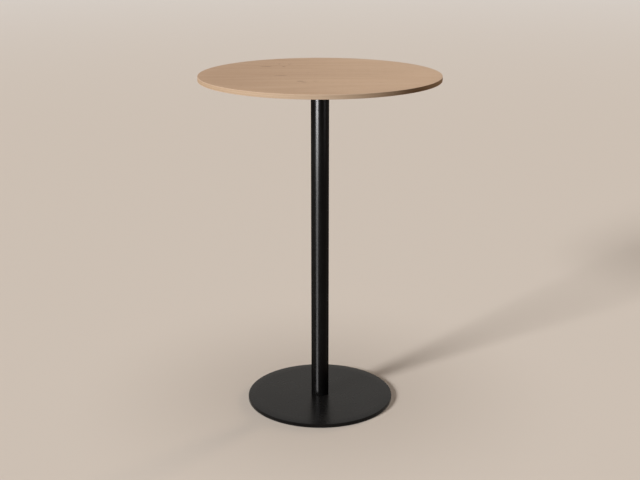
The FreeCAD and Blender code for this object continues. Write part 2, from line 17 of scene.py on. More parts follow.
import bpy
import numpy as np
from numpy.typing import NDArray
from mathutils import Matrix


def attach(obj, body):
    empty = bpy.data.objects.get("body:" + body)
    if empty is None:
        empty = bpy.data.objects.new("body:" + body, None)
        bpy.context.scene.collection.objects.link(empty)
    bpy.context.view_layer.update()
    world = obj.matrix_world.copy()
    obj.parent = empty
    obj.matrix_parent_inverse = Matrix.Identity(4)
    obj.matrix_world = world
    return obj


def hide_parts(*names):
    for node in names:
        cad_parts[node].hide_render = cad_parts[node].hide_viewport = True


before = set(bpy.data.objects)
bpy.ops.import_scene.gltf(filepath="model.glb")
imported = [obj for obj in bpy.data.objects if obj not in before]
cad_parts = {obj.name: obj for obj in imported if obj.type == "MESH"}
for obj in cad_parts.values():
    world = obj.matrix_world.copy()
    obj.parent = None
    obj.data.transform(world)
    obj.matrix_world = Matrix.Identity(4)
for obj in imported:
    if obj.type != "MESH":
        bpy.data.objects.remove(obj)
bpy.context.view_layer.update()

LOG = logging.getLogger("counter_height_table")
TABLE = "table"
MM = 0.001
TURN = 2.0 * math.pi
WELD_DIGITS = 7
SHARP_ANGLE = math.radians(28.0)
ARC_STEPS = 5
THREAD_FLAT = 0.125
THREAD_RUN_OUT = 0.6
OUTWARD = (0.0, 0.5, 1.0)
INWARD = (1.0, 0.5, 0.0)

Array = NDArray[np.float64]
Colour = tuple[float, float, float]
Corner = tuple[float, float, float]
Spot = tuple[float, float]
Span = tuple[float, float]


class Slot(Enum):
    """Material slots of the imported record."""

    VENEER = "veneer"
    PLYWOOD = "plywood"
    BLACK_COAT = "black_coat"
    ZINC_STEEL = "zinc_steel"
    TURNED_STEEL = "turned_steel"
    INSERT_METAL = "insert_metal"
    NYLON = "nylon"


class Outline(Enum):
    """Outline of a ring about its own axis."""

    ROUND = "round"
    HEXAGON = "hexagon"
    THREAD = "thread"


# Shader maths


class Sock:
    """An output of a node that takes part in Python arithmetic."""

    def __init__(self, shader: "Shader", holder: bpy.types.Node, key: str | int) -> None:
        """Keep a node's output together with the shader that holds the node.

        Args:
            shader: Tree that the node is in.
            holder: The node.
            key: Name or number of the output.
        """
        self.shader = shader
        self.holder = holder
        self.key = key

    @property
    def socket(self) -> bpy.types.NodeSocket:
        """Blender's own socket."""
        return self.holder.outputs[self.key]

    def other(self, key: str | int) -> "Sock":
        """Another output of the same node."""
        return Sock(self.shader, self.holder, key)

    def math(self, operation: str, *terms: "Value") -> "Sock":
        """Math node of this value and further terms."""
        return self.shader.calculate(operation, self, *terms)

    def __add__(self, other: "Value") -> "Sock":
        """Sum."""
        return self.math("ADD", other)

    __radd__ = __add__

    def __sub__(self, other: "Value") -> "Sock":
        """Difference."""
        return self.math("SUBTRACT", other)

    def __rsub__(self, other: "Value") -> "Sock":
        """Difference from a number."""
        return self.shader.calculate("SUBTRACT", other, self)

    def __mul__(self, other: "Value") -> "Sock":
        """Product."""
        return self.math("MULTIPLY", other)

    __rmul__ = __mul__

    def __truediv__(self, other: "Value") -> "Sock":
        """Quotient."""
        return self.math("DIVIDE", other)

    def __abs__(self) -> "Sock":
        """Size without its sign."""
        return self.math("ABSOLUTE")

    def step(self, low: float, high: float) -> "Sock":
        """Smooth step between two values, in either order.

        Args:
            low: Value where the step is 0.
            high: Value where the step is 1.

        Returns:
            0 to 1 as the value goes from low to high.
        """
        ends: dict[str | int, Value] = {"Value": self}
        ends.update({"From Min": min(low, high), "From Max": max(low, high)})
        if low > high:
            ends.update({"To Min": 1.0, "To Max": 0.0})
        return self.shader.node("ShaderNodeMapRange", ends, interpolation_type="SMOOTHSTEP")


Value = Union[Sock, float, Sequence[float]]


class Shader:
    """Node tree of a material or of the world, built by expressions."""

    def __init__(self, owner: bpy.types.ID) -> None:
        """Start an empty tree.

        Args:
            owner: Material or world that the tree belongs to.
        """
        owner.use_nodes = True
        self.tree = owner.node_tree
        self.tree.nodes.clear()

    def node(
        self,
        kind: str,
        inputs: Mapping[str | int, Value] | None = None,
        output: str | int = 0,
        **settings: Any,
    ) -> Sock:
        """Add a node.

        Args:
            kind: Blender's node type.
            inputs: Values or links by socket name or number.
            output: Output that is handed back.
            settings: Properties of the node, set before its inputs.

        Returns:
            The chosen output.
        """
        made = self.tree.nodes.new(kind)
        for name, value in settings.items():
            setattr(made, name, value)
        for key, value in (inputs or {}).items():
            if isinstance(value, Sock):
                self.tree.links.new(value.socket, made.inputs[key])
            else:
                made.inputs[key].default_value = value
        return Sock(self, made, output)

    def calculate(self, operation: str, *terms: Value) -> Sock:
        """Math node of one to three terms."""
        return self.node("ShaderNodeMath", dict(enumerate(terms)), operation=operation)

    def combine(self, operation: str, first: Value, second: Value) -> Sock:
        """Vector Math node of two vectors."""
        return self.node("ShaderNodeVectorMath", {0: first, 1: second}, operation=operation)

    def place(self, shift: Corner = (0.0, 0.0, 0.0)) -> Sock:
        """Object coordinates, moved by a shift where one is given."""
        here = self.node("ShaderNodeTexCoord", output="Object")
        return self.combine("ADD", here, shift) if any(shift) else here

    def split(self, vector: Sock) -> tuple[Sock, Sock, Sock]:
        """X, Y and Z of a vector."""
        parts = self.node("ShaderNodeSeparateXYZ", {0: vector})
        return parts, parts.other(1), parts.other(2)

    def join(self, *parts: Value) -> Sock:
        """Vector of X, Y and Z."""
        return self.node("ShaderNodeCombineXYZ", dict(enumerate(parts)))

    def away(self) -> Sock:
        """Distance from the upright axis: the root of x squared plus y squared."""
        x, y, _ = self.split(self.place())
        return (x * x + y * y).math("SQRT")

    def noise(self, vector: Sock, waves: float | Corner, detail: float = 2.0, rough: float = 0.5) -> Sock:
        """Cloud noise with a mean of about one half.

        Args:
            vector: Coordinates in metres.
            waves: Features per metre, all round or along X, Y and Z.
            detail: Octaves added to the first.
            rough: Share that each octave keeps of the one before.

        Returns:
            The noise value.
        """
        scale = waves if isinstance(waves, tuple) else (waves, waves, waves)
        inputs = {"Vector": self.combine("MULTIPLY", vector, scale), "Scale": 1.0}
        inputs.update({"Detail": detail, "Roughness": rough})
        return self.node("ShaderNodeTexNoise", inputs)

    def blend(self, share: Value, first: Value, second: Value) -> Sock:
        """Mix of two colours.

        Args:
            share: 0 for the first colour, 1 for the second.
            first: Colour or link.
            second: Colour or link.

        Returns:
            The mixed colour.
        """
        ends = [end if isinstance(end, Sock) else (*end, 1.0) for end in (first, second)]
        return self.node("ShaderNodeMix", {0: share, 6: ends[0], 7: ends[1]}, 2, data_type="RGBA")

    def bump(self, height: Sock, depth: float) -> Sock:
        """Normal bent by a relief of 0 to 1 that is depth metres high."""
        return self.node("ShaderNodeBump", {"Height": height, "Distance": depth, "Strength": 1.0})

    def coat(self, **sockets: Value) -> Sock:
        """Principled shader.

        Args:
            sockets: Values by socket name, in lower case and with _ for each space.

        Returns:
            The shader's output.
        """
        names = [name.replace("_", " ").title().replace("Ior", "IOR") for name in sockets]
        return self.node("ShaderNodeBsdfPrincipled", dict(zip(names, sockets.values())))

    def mix(self, share: Sock, first: Sock, second: Sock) -> Sock:
        """First shader where share is 0, second where it is 1."""
        return self.node("ShaderNodeMixShader", {0: share, 1: first, 2: second})

    def end(self, last: Sock, kind: str = "ShaderNodeOutputMaterial") -> None:
        """Link the last shader to the tree's output."""
        self.node(kind, {"Surface": last})


# Finishes


@dataclass(frozen=True)
class Finish(ABC):
    """A finish that paints one material and names the slot it belongs to.

    In every finish gloss is the specular level, and relief is how deep its marks are.
    """

    name: str
    slot: Slot

    def material(self) -> bpy.types.Material:
        """The painted material, made at first use.

        Returns:
            The material.
        """
        found = bpy.data.materials.get(self.name)
        if found is None:
            found = bpy.data.materials.new(self.name)
            shader = Shader(found)
            shader.end(self.paint(shader))
        return found

    @abstractmethod
    def paint(self, shader: Shader) -> Sock:
        """Build the nodes and hand back the last shader."""


@dataclass(frozen=True)
class Fleck:
    """A small dark streak in the veneer, long along the grain."""

    middle: Spot
    length: float
    width: float
    depth: float

    def strength(self, x: Sock, y: Sock) -> Sock:
        """Soft ellipse: the squares of both distances, in half lengths, summed and stepped.

        Args:
            x: Place along the grain.
            y: Place across the grain.

        Returns:
            The depth in the middle, falling to 0 at the edge.
        """
        along = (x - self.middle[0]) / (self.length / 2.0)
        across = (y - self.middle[1]) / (self.width / 2.0)
        return (along * along + across * across).step(1.0, 0.1) * self.depth


@dataclass(frozen=True)
class Veneer(Finish):
    """Rotary-cut veneer under matt lacquer, with its grain along X and a sanded arris whose lighter ring is
    partly sanded wood and partly a painted highlight.
    """

    light: Colour = (0.540, 0.376, 0.252)
    dark: Colour = (0.392, 0.252, 0.158)
    pore: Colour = (0.205, 0.118, 0.066)
    knot: Colour = (0.105, 0.055, 0.029)
    sanded_and_highlight: Colour = (0.600, 0.455, 0.335)
    shift: Corner = (0.0, 0.0, 0.0)
    arris: Span = (329.1 * MM, 329.8 * MM)
    reach: float = 330 * MM
    lean: float = 0.34
    figure_share: float = 0.13
    streak_share: float = 0.26
    fibre_share: float = 0.42
    cloud_share: float = 0.45
    roughness: float = 0.50
    gloss: float = 0.14
    relief: float = 0.06 * MM
    flecks: tuple[Fleck, ...] = ()

    def paint(self, shader: Shader) -> Sock:
        """Contour figure, streaks, fibres and pores along wandering grain lines.

        The grain line is y plus slow noise. Contours of a smooth noise hill give the
        broad figure, and noises that are long along X give streaks, fibres and pores.

        Args:
            shader: Tree to build in.

        Returns:
            The last shader.
        """
        here = shader.place(self.shift)
        x, y, z = shader.split(here)
        wander = shader.noise(here, (1.5, 4.0, 1.0))
        ripple = shader.noise(here, (6.0, 17.0, 1.0))
        line = shader.join(x, y + wander * 0.045 + ripple * 0.006, z)
        hill = shader.noise(line, (0.8, 5.0, 1.0), 1.0, 0.4)
        figure = (hill * 9.0).math("PINGPONG", 0.5) * 2.0
        streak = shader.noise(line, (2.4, 62.0, 1.0), 3.0, 0.6)
        fibre = shader.noise(line, (11.0, 380.0, 1.0), 2.0, 0.6)
        cloud = shader.noise(here, (1.6, 2.6, 1.0), 1.0)
        dash = shader.noise(line, (42.0, 760.0, 1.0), 1.0).step(0.64, 0.74)
        tone = 0.5 + (figure - 0.5) * self.figure_share + (streak - 0.5) * self.streak_share
        tone = tone + (fibre - 0.5) * self.fibre_share + (cloud - 0.5) * self.cloud_share
        tone = tone - x * (self.lean / self.reach)
        colour = shader.blend(tone.step(0.0, 1.0), self.light, self.dark)
        colour = shader.blend(dash * (0.22 + 0.20 * figure), colour, self.pore)
        ragged = shader.noise(here, (120.0, 260.0, 1.0)) - 0.5
        torn_x = x + ragged * (14 * MM)
        torn_y = y + (ripple + fibre - 1.0) * (9 * MM)
        for fleck in self.flecks:
            colour = shader.blend(fleck.strength(torn_x, torn_y), colour, self.knot)
        # Painted highlight, partly sanded wood: the arris ring is lighter than the face.
        return shader.coat(
            base_color=shader.blend(shader.away().step(*self.arris), colour, self.sanded_and_highlight),
            roughness=self.roughness + (streak - 0.5) * 0.14 + dash * 0.10,
            specular_ior_level=self.gloss,
            normal=shader.bump(fibre * 0.5 + (1.0 - dash) * 0.5, self.relief),
        )


@dataclass(frozen=True)
class PlyRim(Finish):
    """Sanded and lacquered plywood edge with three thick plies and two glue lines."""

    light: Colour = (0.625, 0.485, 0.362)
    dark: Colour = (0.455, 0.316, 0.204)
    glue: Colour = (0.190, 0.108, 0.060)
    middle: float = 944 * MM
    ply: float = 10.4 / 3 * MM
    reach: float = 330 * MM
    roughness: float = 0.66
    gloss: float = 0.06
    relief: float = 0.08 * MM

    def paint(self, shader: Shader) -> Sock:
        """Plies by height, darker towards both ends of X: partly end grain, where the rim cuts most fibres
        across, and partly painted shade that tones down the brightly lit left end.

        The share of end grain and painted shade is the size of x over the radius, less in the middle ply.

        Args:
            shader: Tree to build in.

        Returns:
            The last shader.
        """
        here = shader.place()
        x, _, z = shader.split(here)
        plies_off = abs((z - self.middle) / self.ply)
        # Painted shade, partly end grain: the rim darkens towards both ends of X.
        end_grain_and_painted_shade = abs(x / self.reach) * (1.0 - plies_off.step(0.54, 0.46) * 0.3)
        streak = shader.noise(here, (9.0, 9.0, 2600.0), 3.0, 0.6)
        speck = shader.noise(here, (520.0, 520.0, 900.0))
        cloud = shader.noise(here, (5.0, 5.0, 160.0))
        tone = 0.33 + 0.56 * end_grain_and_painted_shade + (streak - 0.5) * 0.70 * (1.0 - 0.6 * end_grain_and_painted_shade)
        tone = tone + (speck - 0.5) * 0.5 * end_grain_and_painted_shade + (cloud - 0.5) * 0.35
        colour = shader.blend(tone.step(0.0, 1.0), self.light, self.dark)
        seam = abs(plies_off - 0.5).step(0.045, 0.012)
        return shader.coat(
            base_color=shader.blend(seam * 0.55, colour, self.glue),
            roughness=self.roughness + (streak - 0.5) * 0.16 + end_grain_and_painted_shade * 0.08,
            specular_ior_level=self.gloss,
            normal=shader.bump(streak * 0.6 + speck * 0.4, self.relief),
        )


@dataclass(frozen=True)
class PowderCoat(Finish):
    """Satin black powder coat with a fine orange peel."""

    colour: Colour = (0.0036, 0.0034, 0.0034)
    worn: Colour = (0.0068, 0.0066, 0.0064)
    roughness: float = 0.27
    gloss: float = 0.12
    relief: float = 0.003 * MM
    dulled: Span | None = None

    def paint(self, shader: Shader) -> Sock:
        """Fine peel in the relief, slow clouds and faint rub marks in the sheen.

        Where dulled is set, the sheen gives way to matt as the surface turns away, between
        those two values of one minus the cosine.

        Args:
            shader: Tree to build in.

        Returns:
            The last shader.
        """
        here = shader.place()
        peel = shader.noise(here, 850.0, 1.0)
        cloud = shader.noise(here, 11.0, 3.0)
        rub = shader.noise(here, (38.0, 130.0, 24.0)).step(0.60, 0.78)
        colour = shader.blend(cloud.step(0.30, 0.75), self.colour, self.worn)
        normal = shader.bump(peel, self.relief)
        rough = self.roughness + (cloud - 0.5) * 0.04 + rub * 0.02
        sheen = shader.coat(base_color=colour, roughness=rough, specular_ior_level=self.gloss, normal=normal)
        if self.dulled is None:
            return sheen
        matt = shader.coat(base_color=colour, roughness=1.0, specular_ior_level=0.0, normal=normal)
        slant = shader.node("ShaderNodeLayerWeight", {"Blend": 0.5}, "Facing").step(*self.dulled)
        return shader.mix(slant, sheen, matt)


@dataclass(frozen=True)
class PlatedSteel(Finish):
    """Bright zinc plate with cloudy passivation."""

    pale: Colour = (0.66, 0.67, 0.70)
    tinted: Colour = (0.52, 0.52, 0.50)
    roughness: float = 0.26
    relief: float = 0.006 * MM

    def paint(self, shader: Shader) -> Sock:
        """Clouds in colour and sheen over a fine grain.

        Args:
            shader: Tree to build in.

        Returns:
            The last shader.
        """
        here = shader.place()
        cloud = shader.noise(here, 160.0, 3.0)
        grain = shader.noise(here, 2400.0, 1.0)
        return shader.coat(
            base_color=shader.blend(cloud.step(0.3, 0.7), self.pale, self.tinted),
            metallic=1.0,
            roughness=self.roughness + (cloud - 0.5) * 0.16 + (grain - 0.5) * 0.08,
            normal=shader.bump(grain, self.relief),
        )


@dataclass(frozen=True)
class TurnedMetal(Finish):
    """Machined metal with tool marks round its own axis."""

    bright: Colour = (0.50, 0.50, 0.51)
    dull: Colour = (0.36, 0.35, 0.34)
    pitch: float = 0.35 * MM
    roughness: float = 0.34
    relief: float = 0.008 * MM

    def paint(self, shader: Shader) -> Sock:
        """Tool marks as fine waves of the height, with oil clouds over them.

        Args:
            shader: Tree to build in.

        Returns:
            The last shader.
        """
        here = shader.place()
        _, _, z = shader.split(here)
        wave = (z * (TURN / self.pitch)).math("SINE")
        cloud = shader.noise(here, 70.0, 3.0)
        return shader.coat(
            base_color=shader.blend(cloud.step(0.3, 0.7), self.bright, self.dull),
            metallic=1.0,
            roughness=self.roughness + (cloud - 0.5) * 0.18,
            normal=shader.bump(wave * 0.5 + 0.5, self.relief),
        )


@dataclass(frozen=True)
class MouldedNylon(Finish):
    """Black moulded nylon with a spark-eroded texture."""

    colour: Colour = (0.020, 0.020, 0.020)
    scuffed: Colour = (0.052, 0.051, 0.049)
    roughness: float = 0.52
    gloss: float = 0.4
    relief: float = 0.02 * MM

    def paint(self, shader: Shader) -> Sock:
        """Fine texture in the relief and pale scuffs.

        Args:
            shader: Tree to build in.

        Returns:
            The last shader.
        """
        here = shader.place()
        texture = shader.noise(here, 1500.0)
        scuff = shader.noise(here, (90.0, 260.0, 200.0), 3.0).step(0.56, 0.76)
        return shader.coat(
            base_color=shader.blend(scuff, self.colour, self.scuffed),
            roughness=self.roughness + (texture - 0.5) * 0.2 + scuff * 0.1,
            specular_ior_level=self.gloss,
            normal=shader.bump(texture, self.relief),
        )


FACE_FLECKS = (
    Fleck((-0.160, 0.148), 24 * MM, 6.0 * MM, 0.80),
    Fleck((-0.146, 0.145), 22 * MM, 6.5 * MM, 0.95),
    Fleck((-0.118, 0.196), 8 * MM, 7.0 * MM, 1.00),
    Fleck((-0.102, 0.146), 10 * MM, 6.5 * MM, 0.95),
    Fleck((-0.087, 0.192), 12 * MM, 7.0 * MM, 1.00),
    Fleck((-0.106, -0.024), 48 * MM, 6.5 * MM, 0.95),
    Fleck((-0.052, -0.119), 22 * MM, 6.5 * MM, 0.95),
    Fleck((-0.042, -0.133), 18 * MM, 6.0 * MM, 0.65),
    Fleck((-0.012, -0.118), 20 * MM, 6.0 * MM, 0.40),
)
FACE = Veneer("lacquered_face_veneer", Slot.VENEER, flecks=FACE_FLECKS)
BACKING = Veneer(
    "lacquered_backing_veneer",
    Slot.VENEER,
    light=(0.500, 0.345, 0.230),
    dark=(0.360, 0.230, 0.142),
    shift=(3.7, 1.9, 0.0),
    lean=0.0,
)
RIM = PlyRim("sanded_plywood_rim", Slot.PLYWOOD)
COAT = PowderCoat("satin_black_coat", Slot.BLACK_COAT)
# Painted shade: the tube's copy of the same satin black coat is darker, and has less gloss.
SHADED_TUBE_COAT = PowderCoat(
    "satin_black_tube_coat_painted_shade",
    Slot.BLACK_COAT,
    colour=(0.0021, 0.0020, 0.0020),
    worn=(0.0038, 0.0037, 0.0036),
    gloss=0.07,
    dulled=(0.36, 0.70),
)
ZINC = PlatedSteel("bright_zinc_plate", Slot.ZINC_STEEL)
STEEL = TurnedMetal("oiled_turned_steel", Slot.TURNED_STEEL)
BRASS = TurnedMetal(
    "machined_insert_metal", Slot.INSERT_METAL, bright=(0.64, 0.47, 0.20), dull=(0.48, 0.34, 0.15)
)
NYLON = MouldedNylon("black_moulded_nylon", Slot.NYLON)


# Surfaces


@dataclass(frozen=True)
class Ring:
    """One ring of a turned surface.

    The radius of a hexagon is half its width across flats. The share is how much of a
    thread's depth the ring has; a negative share cuts the thread outwards, as in a bore.
    """

    radius: float
    height: float
    outline: Outline = Outline.ROUND
    share: float = 1.0


@dataclass(frozen=True)
class Thread:
    """Right-hand V thread."""

    pitch: float
    depth: float
    steps: int = 8

    def rings(self, radius: float, start: float, stop: float, share: float = 1.0) -> list[Ring]:
        """Rings of a threaded length with a short run-out at both ends.

        Args:
            radius: Radius before the thread is cut.
            start: Height of the first ring.
            stop: Height of the last ring.
            share: Share of the depth, negative in a bore.

        Returns:
            Rings from start to stop.
        """
        count = max(2, round(abs(stop - start) / self.pitch * self.steps))
        heights = np.linspace(start, stop, count + 1)
        inside = np.minimum(np.abs(heights - start), np.abs(heights - stop))
        shares = share * np.clip(inside / (THREAD_RUN_OUT * self.pitch), 0.0, 1.0)
        return [Ring(radius, h, Outline.THREAD, s) for h, s in zip(heights.tolist(), shares.tolist())]


@dataclass(frozen=True)
class Patch:
    """Grid of points that closes round its columns, and round its rows where loop is set."""

    grid: Array
    loop: bool = False

    def quads(self, first: int) -> NDArray[np.int64]:
        """Corner numbers of every quad.

        Args:
            first: Number of the grid's first point.

        Returns:
            Four point numbers for each quad.
        """
        rows, columns = self.grid.shape[:2]
        numbers = np.arange(rows * columns).reshape(rows, columns) + first
        upper = np.roll(numbers, -1, axis=0)
        corners = [numbers, np.roll(numbers, -1, axis=1), np.roll(upper, -1, axis=1), upper]
        quads = np.stack(corners, axis=-1)
        return (quads if self.loop else quads[:-1]).reshape(-1, 4)


def turned(
    rings: Sequence[Ring],
    columns: int,
    centre: Spot = (0.0, 0.0),
    thread: Thread | None = None,
    loop: bool = False,
) -> Patch:
    """Carry a profile of rings round an upright axis.

    The point at ring i and angle a lies at radius q(i, a) from the axis. A round ring has
    q = r. A hexagon with half width r has q = r / cos(a mod 60 degrees - 30 degrees). On a
    thread q falls from r by the depth times a triangle wave of height / pitch - a / turn.
    Rings run with the material on their left, so that faces point outwards.

    Args:
        rings: Profile.
        columns: Points round each ring.
        centre: Axis in plan.
        thread: Thread of the threaded rings.
        loop: Whether the last ring joins the first.

    Returns:
        The surface as a grid.
    """
    angle = np.arange(columns) * (TURN / columns)
    radius = np.array([ring.radius for ring in rings])[:, None]
    height = np.array([ring.height for ring in rings])[:, None]
    flats = np.array([ring.outline is Outline.HEXAGON for ring in rings])[:, None]
    reach = np.where(flats, radius / np.cos(np.mod(angle, TURN / 6) - TURN / 12), radius)
    if thread is not None:
        cut = np.array([ring.share * (ring.outline is Outline.THREAD) for ring in rings])[:, None]
        wave = np.abs(2.0 * np.mod(height / thread.pitch - angle / TURN, 1.0) - 1.0)
        groove = np.clip((wave - THREAD_FLAT) / (1.0 - 2.0 * THREAD_FLAT), 0.0, 1.0)
        reach = reach - cut * thread.depth * groove
    plan = [centre[0] + reach * np.cos(angle), centre[1] + reach * np.sin(angle)]
    return Patch(np.stack([*plan, np.repeat(height, columns, axis=1)], axis=-1), loop)


def lathe(columns: int, *profiles: Sequence[Ring]) -> list[Patch]:
    """Several profiles carried round the middle axis."""
    return [turned(rings, columns) for rings in profiles]


@dataclass(frozen=True)
class CellRow:
    """One row of a plate cell: share 1 lies on the cell's border, 0 on a ring about the hole."""

    share: float
    radius: float
    height: float


def flat_rows(radius: float, height: float, shares: Sequence[float]) -> list[CellRow]:
    """Rows of the flat face between a hole and its cell's border."""
    return [CellRow(share, radius, height) for share in shares]


@dataclass(frozen=True)
class HoleCircle:
    """Equal holes on a circle, each in a cell of the plate with arcs inside and outside."""

    count: int
    circle: float
    inner: float
    outer: float
    segments: int
    side_steps: int = 12

    @property
    def spots(self) -> list[Spot]:
        """Middles of the holes, the first on +X."""
        turns = [number * (TURN / self.count) for number in range(self.count)]
        return [(self.circle * math.cos(turn), self.circle * math.sin(turn)) for turn in turns]

    def copies(
        self, rings: Sequence[Ring], columns: int, thread: Thread | None = None, loop: bool = False
    ) -> list[Patch]:
        """The same turned surface on the axis of every hole."""
        return [turned(rings, columns, spot, thread, loop) for spot in self.spots]

    def patches(self, rows: Sequence[CellRow]) -> list[Patch]:
        """Cells from a hole to its border, one for each hole.

        The border runs round the hole along the outer arc, a side, the inner arc and the
        other side. A row is the border times its share plus a ring about the hole, in the
        border's directions, times the rest.

        Args:
            rows: Rows of the cell, with the material on their left.

        Returns:
            One grid for each hole.
        """
        half = math.pi / self.count
        steps = self.segments // self.count
        arc = np.linspace(-half, half, steps + 1)[:-1]
        side = np.linspace(self.outer, self.inner, self.side_steps + 1)[:-1]
        rising = np.linspace(self.inner, self.outer, self.side_steps + 1)[:-1]
        radius = np.concatenate([np.full(steps, self.outer), side, np.full(steps, self.inner), rising])
        angle = np.concatenate([arc, np.full(len(side), half), -arc, np.full(len(side), -half)])
        border = np.stack([radius * np.cos(angle), radius * np.sin(angle)], axis=-1)
        middle = np.array([self.circle, 0.0])
        away = (border - middle) / np.linalg.norm(border - middle, axis=-1, keepdims=True)
        share = np.array([row.share for row in rows])[:, None, None]
        ring = np.array([row.radius for row in rows])[:, None, None] * away + middle
        x, y = np.moveaxis(share * border + (1.0 - share) * ring, -1, 0)
        z = np.array([row.height for row in rows])[:, None].repeat(x.shape[1], axis=1)
        turns = (np.arange(self.count) * (TURN / self.count)).tolist()
        swings = [(math.cos(turn), math.sin(turn)) for turn in turns]
        return [Patch(np.stack([x * c - y * s, x * s + y * c, z], axis=-1)) for c, s in swings]


def eased(corners: Sequence[Corner]) -> list[Ring]:
    """Profile through corners, each rounded by its own radius.

    A corner with easing e is left and met e / tan(half its angle) away from it, and the arc
    between is a slerp of the two radii about the arc's middle.

    Args:
        corners: Radius, height and easing of each corner; the first and last stay sharp.

    Returns:
        The rings of the profile.
    """
    spots = [np.array(corner[:2]) for corner in corners]
    rings = [Ring(*spots[0].tolist())]
    for before, here, after, corner in zip(spots, spots[1:], spots[2:], corners[1:]):
        rings.extend(Ring(*spot) for spot in _arc(before, here, after, corner[2]).tolist())
    return [*rings, Ring(*spots[-1].tolist())]


def _arc(before: Array, here: Array, after: Array, ease: float) -> Array:
    """Points that round one corner, or the corner itself where it stays sharp.

    Args:
        before: Corner before this one.
        here: Corner to round.
        after: Corner after this one.
        ease: Radius of the rounding.

    Returns:
        Radius and height of each point.
    """
    if ease <= 0.0:
        return here[None, :]
    back = (before - here) / np.linalg.norm(before - here)
    on = (after - here) / np.linalg.norm(after - here)
    half = math.acos(float(np.clip(back @ on, -1.0, 1.0))) / 2.0
    middle = here + (back + on) / np.linalg.norm(back + on) * (ease / math.sin(half))
    first = here + back * (ease / math.tan(half)) - middle
    last = here + on * (ease / math.tan(half)) - middle
    sweep = math.pi - 2.0 * half
    share = np.linspace(0.0, 1.0, ARC_STEPS + 1)[:, None]
    swung = np.sin((1.0 - share) * sweep) * first + np.sin(share * sweep) * last
    return middle + swung / math.sin(sweep)


def washer_rings(bore: float, radius: float, low: float, high: float, edge: float) -> list[Ring]:
    """Closed profile of a flat ring with rounded outer edges, to be joined end to start.

    Args:
        bore: Radius of the hole.
        radius: Outer radius.
        low: Height of the lower face.
        high: Height of the upper face.
        edge: Radius of the outer edges.

    Returns:
        The rings of the profile.
    """
    middle = (low + high) / 2
    outer = [(radius, middle, 0.0), (radius, high, edge), (bore, high, 0.0), (bore, low, 0.0)]
    return eased([*outer, (radius, low, edge), (radius, middle, 0.0)])[:-1]


def hex_socket(flats: float, floor: float, mouth: float) -> list[Ring]:
    """Socket from the middle of its floor to its mouth, by its width across flats."""
    walls = [Ring(flats / 2, height, Outline.HEXAGON) for height in (floor, mouth)]
    return [Ring(0.0, floor), *walls]


def flat_end(radius: float, height: float) -> list[Ring]:
    """Flat end of a turned piece, from its edge to the middle."""
    return [Ring(radius, height), Ring(0.0, height)]


def spaced(start: float, stop: float, count: int) -> list[float]:
    """Values between two ends, without the ends."""
    return np.linspace(start, stop, count + 2)[1:-1].tolist()


def weld(patches: Sequence[Patch]) -> tuple[Array, list[list[int]]]:
    """Join patches into one mesh.

    Points that agree to WELD_DIGITS become one. A quad with two equal corners becomes a
    triangle, and one with fewer than three different corners is left out.

    Args:
        patches: Grids that meet along equal points.

    Returns:
        Points and faces.
    """
    starts = np.cumsum([0, *(patch.grid[..., 0].size for patch in patches)])
    points = np.concatenate([patch.grid.reshape(-1, 3) for patch in patches])
    quads = np.concatenate([patch.quads(start) for patch, start in zip(patches, starts.tolist())])
    kept, number = np.unique(np.round(points, WELD_DIGITS), axis=0, return_inverse=True)
    faces = number.reshape(-1)[quads]
    same = faces == np.roll(faces, -1, axis=1)
    doubles = same.sum(axis=1)
    pinched = doubles == 1
    triangles = faces[pinched][~same[pinched]].reshape(-1, 3)
    return kept, [*faces[doubles == 0].tolist(), *triangles.tolist()]


def put_in_scene(name: str, data: bpy.types.ID) -> bpy.types.Object:
    """Make an object of a mesh, light or camera.

    Args:
        name: Name of the object.
        data: What it holds.

    Returns:
        The object, linked to the scene.
    """
    made = bpy.data.objects.new(name, data)
    bpy.context.scene.collection.objects.link(made)
    return made


def add_piece(
    name: str, node: str, patches: Sequence[Patch], finish: Finish, body: str = TABLE
) -> bpy.types.Object:
    """Put a surface into the scene as a piece of the table.

    Args:
        name: Name of the piece.
        node: Node of the frame that it replaces.
        patches: Its surface.
        finish: Its finish.
        body: Body that it moves with.

    Returns:
        The new object.
    """
    points, faces = weld(patches)
    mesh = bpy.data.meshes.new(name)
    mesh.from_pydata(points.tolist(), [], faces)
    mesh.validate()
    mesh.shade_smooth()
    mesh.set_sharp_from_angle(angle=SHARP_ANGLE)
    mesh.materials.append(finish.material())
    piece = put_in_scene(name, mesh)
    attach(piece, body)
    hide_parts(node)
    LOG.info("made %s: %d points, %d faces", name, len(points), len(faces))
    return piece


def dress(node: str, finish: Finish) -> None:
    """Give a node of the frame its finish.

    Args:
        node: Name of the node.
        finish: Its finish.
    """
    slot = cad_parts[node].material_slots[0]
    slot.link = "OBJECT"
    slot.material = finish.material()
    LOG.info("dressed %s in %s", node, finish.name)


# Sub-assemblies


METRIC_6 = Thread(1.0 * MM, 0.55 * MM)
METRIC_8 = Thread(1.25 * MM, 0.70 * MM)
METRIC_10 = Thread(1.5 * MM, 0.85 * MM)
WOOD_THREAD = Thread(2.0 * MM, 0.75 * MM)


